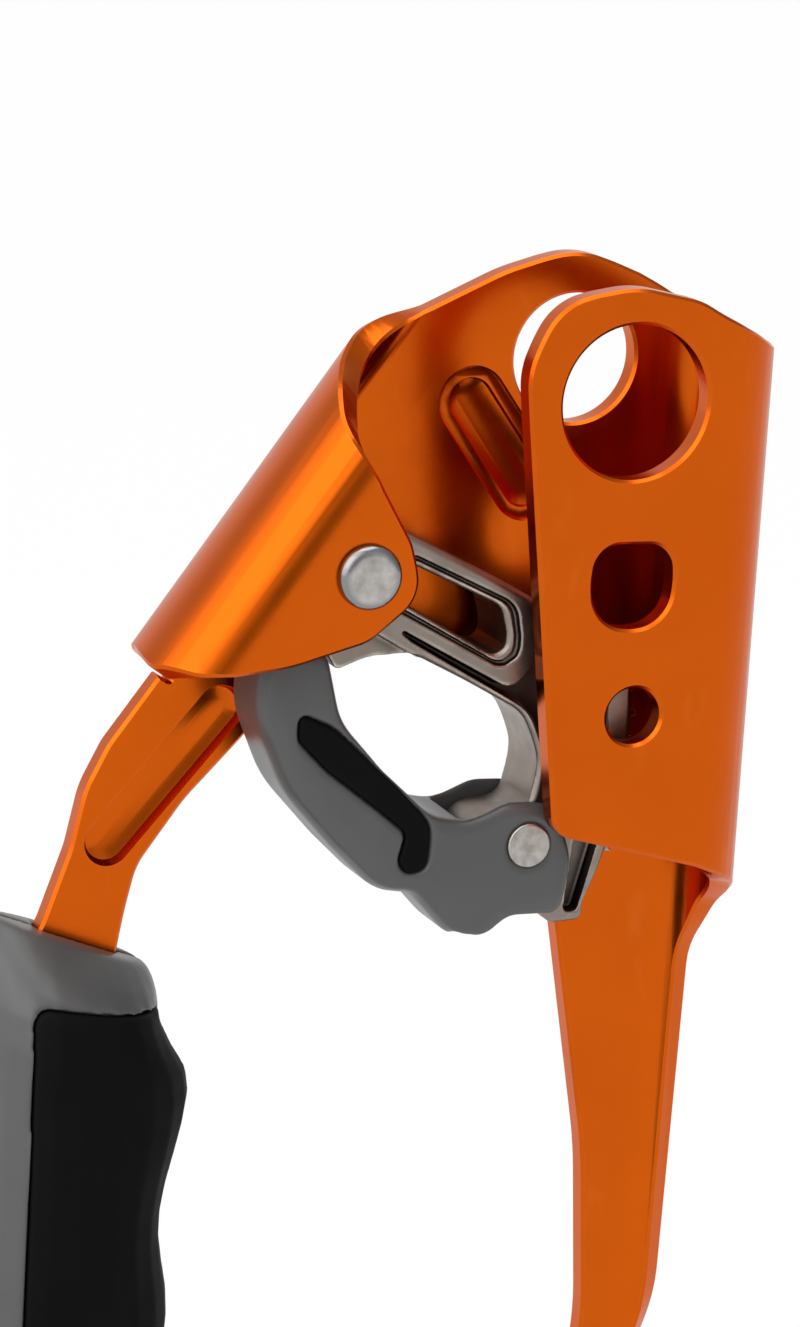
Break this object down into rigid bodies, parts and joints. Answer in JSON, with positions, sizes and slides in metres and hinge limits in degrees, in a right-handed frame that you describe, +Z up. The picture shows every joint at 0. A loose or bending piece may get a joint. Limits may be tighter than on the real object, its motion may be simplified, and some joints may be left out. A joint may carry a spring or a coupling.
{
  "type": "handled rope ascender",
  "caption": "Handled rope ascender: folded plate with a rope channel, a sprung toothed cam with a finger lever, a moulded hand grip and connector holes above and below.",
  "frame": {"origin": "on the rope line, in the middle of the channel, level with the upper front connector hole", "axes": "+Z up along the rope, +X towards the closed side of the rope channel, +Y from the open front towards the back plate"},
  "size_m": [0.091, 0.0337, 0.203],
  "materials": {
    "orange_anodised": "orange anodised, satin",
    "cast_steel": "investment cast, plated",
    "bright_steel": "turned and riveted",
    "spring_steel": "drawn wire",
    "bronze": "sintered",
    "brass": "knurled",
    "grey_nylon": "moulded, fine grain",
    "white_acetal": "smooth",
    "black_rubber": "overmoulded"
  },
  "bodies": {
    "frame": {"frame": "orange_anodised", "cam_pivot_rivet": "bright_steel", "cam_bush": "bronze", "cam_washer_front": "white_acetal", "cam_washer_rear": "white_acetal", "cam_return_spring": "spring_steel", "grip_shell_front": "grey_nylon", "grip_shell_rear": "grey_nylon", "grip_pad_front": "black_rubber", "grip_pad_rear": "black_rubber", "grip_screw_upper": "bright_steel", "grip_screw_middle": "bright_steel", "grip_screw_lower": "bright_steel", "grip_insert_upper": "brass", "grip_insert_middle": "brass", "grip_insert_lower": "brass"},
    "cam": {"cam": "cast_steel", "lever_rivet": "bright_steel", "lever_spring": "spring_steel"},
    "lever": {"lever": "grey_nylon", "lever_inlay_front": "black_rubber", "lever_inlay_rear": "black_rubber"}
  },
  "joints": [
    {"name": "cam_pivot", "type": "hinge", "parent": "frame", "child": "cam", "pos_m": [-0.0409, 0, -0.0191], "axis": [0, 1, 0], "range_deg": [-25, 20], "stiffness_Nm_per_rad": 0.4, "springref_deg": -3.44, "deforming": ["cam_return_spring"]},
    {"name": "lever_pivot", "type": "hinge", "parent": "cam", "child": "lever", "pos_m": [-0.018, 0, -0.0517], "axis": [0, 1, 0], "range_deg": [-22, 0], "stiffness_Nm_per_rad": 0.05, "springref_deg": 17.19, "deforming": ["lever_spring"]}
  ]
}
